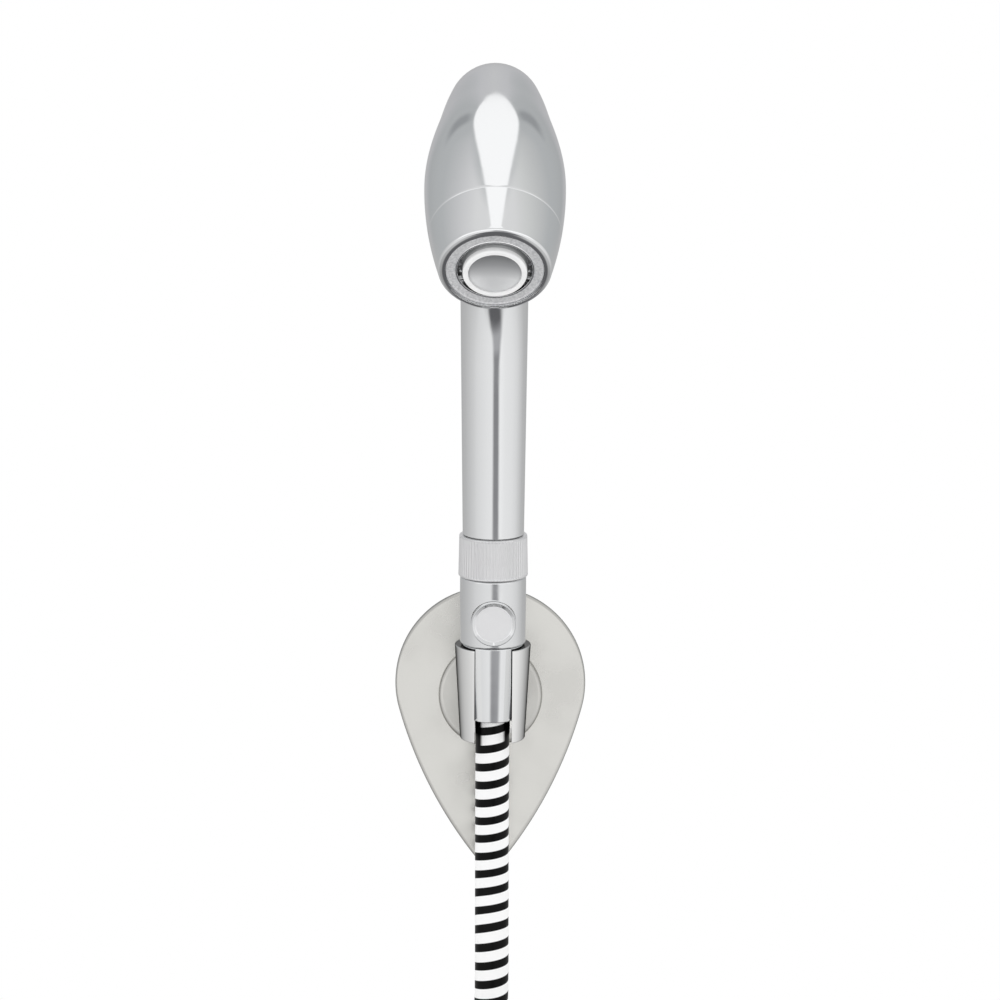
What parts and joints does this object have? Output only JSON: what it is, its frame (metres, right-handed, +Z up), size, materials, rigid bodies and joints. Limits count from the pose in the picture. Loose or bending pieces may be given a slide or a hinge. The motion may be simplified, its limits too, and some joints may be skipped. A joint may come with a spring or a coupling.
{
  "type": "handheld shower head",
  "caption": "Slim handheld shower head with a push-button valve at its foot, a striped flexible hose and a slotted cone holder on a teardrop wall plate.",
  "frame": {"origin": "middle of the holder's round boss, on the plane of the wall", "axes": "+X to the right for a user who faces the wall, +Y into the wall, +Z up"},
  "size_m": [0.1714, 0.1713, 0.5798],
  "materials": {
    "chrome": "polished chrome plate",
    "holder_chrome": "polished chrome plate",
    "plate_chrome": "polished chrome plate",
    "nut_chrome": "polished chrome plate",
    "satin_ring": "satin plated ring",
    "white_plastic": "moulded white acetal",
    "grey_plastic": "moulded grey ABS, smooth",
    "seal_rubber": "moulded EPDM",
    "steel": "stainless steel, as turned or pressed",
    "brass": "turned brass",
    "hose_sleeve": "smooth PVC with a spiral black and white stripe",
    "strap": "hook-and-loop strap"
  },
  "bodies": {
    "bracket": {"cover_plate": "plate_chrome", "mounting_plate": "steel", "boss_disc": "holder_chrome", "socket_arm": "holder_chrome", "socket": "holder_chrome", "arm_bolt": "steel", "arm_washer": "steel", "cover_screw": "steel"},
    "hose": {"hose_nipple": "brass", "hose_ferrule": "steel", "hose_tube": "hose_sleeve", "hose_coil": "hose_sleeve", "hose_tail": "hose_sleeve", "coil_tie": "strap", "supply_ferrule": "steel", "supply_nipple": "brass", "supply_washer": "seal_rubber"},
    "supply_nut": {"supply_nut": "nut_chrome"},
    "handset": {"handset_body": "chrome", "nose_shell": "chrome", "seam_seal": "seal_rubber", "diffuser": "white_plastic", "nozzle_seal": "seal_rubber", "nozzle_collar": "white_plastic", "spray_dish": "grey_plastic", "face_ring": "satin_ring", "flow_regulator": "white_plastic", "inlet_screen": "steel", "coupling_washer": "seal_rubber", "coupling_snap_ring": "steel", "valve_body": "chrome", "cone_nut": "chrome", "hose_washer": "seal_rubber"},
    "coupling_nut": {"coupling_nut": "chrome"},
    "button": {"push_button": "chrome", "valve_spool": "brass", "spool_seals": "seal_rubber", "rear_button": "chrome", "button_screw": "steel"}
  },
  "joints": [
    {"name": "handset_lift", "type": "slide", "parent": "bracket", "child": "hose", "axis": [0, -0.2079, 0.9781], "range_m": [0, 0.045]},
    {"name": "handset_turn", "type": "hinge", "parent": "hose", "child": "handset", "pos_m": [0, -0.048, 0.004], "axis": [0, -0.2079, 0.9781], "continuous": true},
    {"name": "coupling_nut_turn", "type": "hinge", "parent": "handset", "child": "coupling_nut", "pos_m": [0, -0.048, 0.004], "axis": [0, -0.2079, 0.9781], "continuous": true},
    {"name": "button_push", "type": "slide", "parent": "handset", "child": "button", "axis": [0, 0.9781, 0.2079], "range_m": [0, 0.004]},
    {"name": "supply_nut_turn", "type": "hinge", "parent": "hose", "child": "supply_nut", "pos_m": [0.075, -0.063, -0.155], "axis": [0, 0, 1], "continuous": true}
  ]
}
